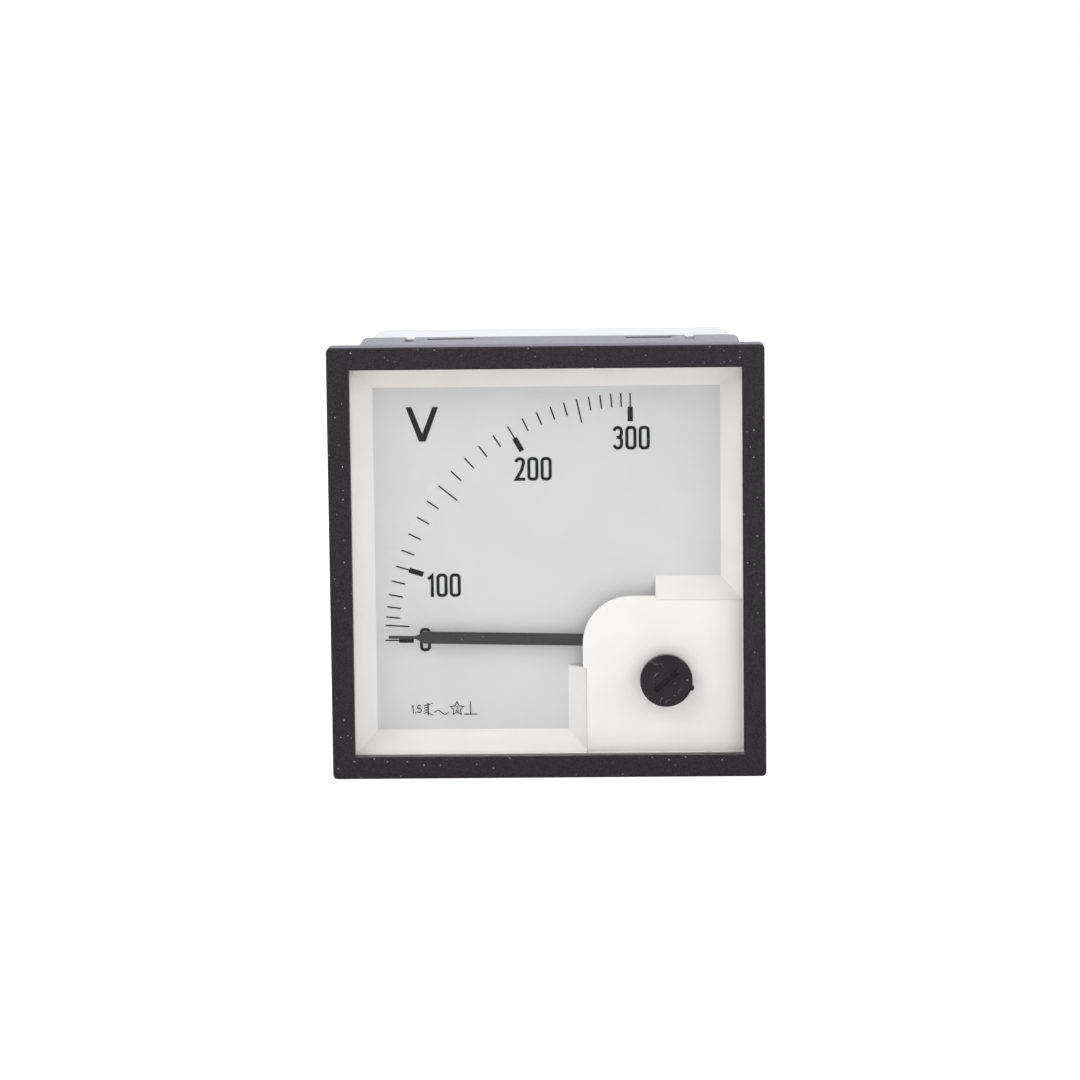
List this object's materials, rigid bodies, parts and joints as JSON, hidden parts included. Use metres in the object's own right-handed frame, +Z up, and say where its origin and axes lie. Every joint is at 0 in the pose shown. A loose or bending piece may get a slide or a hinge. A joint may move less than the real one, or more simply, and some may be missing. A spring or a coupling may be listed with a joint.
{
  "type": "analog panel meter",
  "caption": "Square analog panel voltmeter with a 90 degree scale, a pointer, a white mask and movement cover, a zero adjuster, a black case and a pale rear terminal cover.",
  "frame": {"origin": "centre of the bezel's back face, which seats on the panel", "axes": "+X to the right and +Z up as seen from the front, +Y from the front into the panel"},
  "size_m": [0.072, 0.0645, 0.072],
  "materials": {
    "bezel_black": "finely textured black moulding",
    "case_black": "satin black moulding",
    "window": "clear",
    "mask_white": "white moulding",
    "cover_white": "white moulding",
    "dial_gray": "matt light gray paint",
    "print_black": "print",
    "adjuster_black": "scuffed black moulding",
    "pointer_black": "matt dark paint",
    "rear_cover_white": "pale moulding",
    "brass": "turned",
    "steel": "zinc plated",
    "soft_iron": "annealed",
    "magnet": "sintered",
    "aluminium": "plain sheet",
    "former": "natural moulding",
    "copper": "enamelled winding",
    "tape": "film tape",
    "bronze": "spring strip",
    "jewel": "polished",
    "resistor": "lacquer",
    "insulation": "sleeving"
  },
  "bodies": {
    "housing": {"front_bezel": "bezel_black", "window_glass": "window", "dial_mask": "mask_white", "movement_cover": "cover_white", "dial_plate": "dial_gray", "scale_marks": "print_black", "adjuster_clip": "steel", "case": "case_black", "rear_cover": "rear_cover_white", "terminal_posts": "brass", "terminal_screws": "steel", "terminal_clamps": "steel", "solder_tags": "brass", "series_resistor": "resistor", "leads": "insulation", "front_plate": "aluminium", "frame_pillars": "brass", "frame_screws": "steel", "rear_plate": "aluminium", "movement_screws": "steel", "front_bridge": "brass", "bridge_screws": "steel", "front_bearing_screw": "brass", "front_lock_nut": "steel", "front_jewel": "jewel", "rear_bearing_screw": "brass", "rear_lock_nut": "steel", "rear_jewel": "jewel", "regulator_washer": "steel", "coil_former": "former", "coil_winding": "copper", "coil_wrap": "tape", "fixed_vane": "soft_iron", "damping_magnet": "magnet", "magnet_yoke": "soft_iron", "yoke_screw": "steel"},
    "moving_system": {"pointer": "pointer_black", "pointer_hub": "brass", "balance_weights": "brass", "spindle": "steel", "spring_collet": "brass", "hairspring": "bronze", "moving_vane": "soft_iron", "damping_vane": "aluminium"},
    "adjuster": {"zero_adjuster": "adjuster_black"},
    "regulator": {"regulator_arm": "brass"}
  },
  "joints": [
    {"name": "pointer_swing", "type": "hinge", "parent": "housing", "child": "moving_system", "pos_m": [0.0139, 0.003, -0.0136], "axis": [0, 1, 0], "range_deg": [-3, 91.5], "stiffness_Nm_per_rad": 0.00006, "deforming": ["hairspring"]},
    {"name": "zero_adjust", "type": "hinge", "parent": "housing", "child": "adjuster", "pos_m": [0.0195, -0.0045, -0.01975], "axis": [0, 1, 0], "range_deg": [-40, 40]},
    {"name": "regulator_turn", "type": "hinge", "parent": "housing", "child": "regulator", "pos_m": [0.0139, 0.001, -0.0136], "axis": [0, 1, 0], "range_deg": [-5, 5]}
  ],
  "couplings": [
    {"joint": "regulator_turn", "follows": "zero_adjust", "ratio": 0.10732}
  ]
}
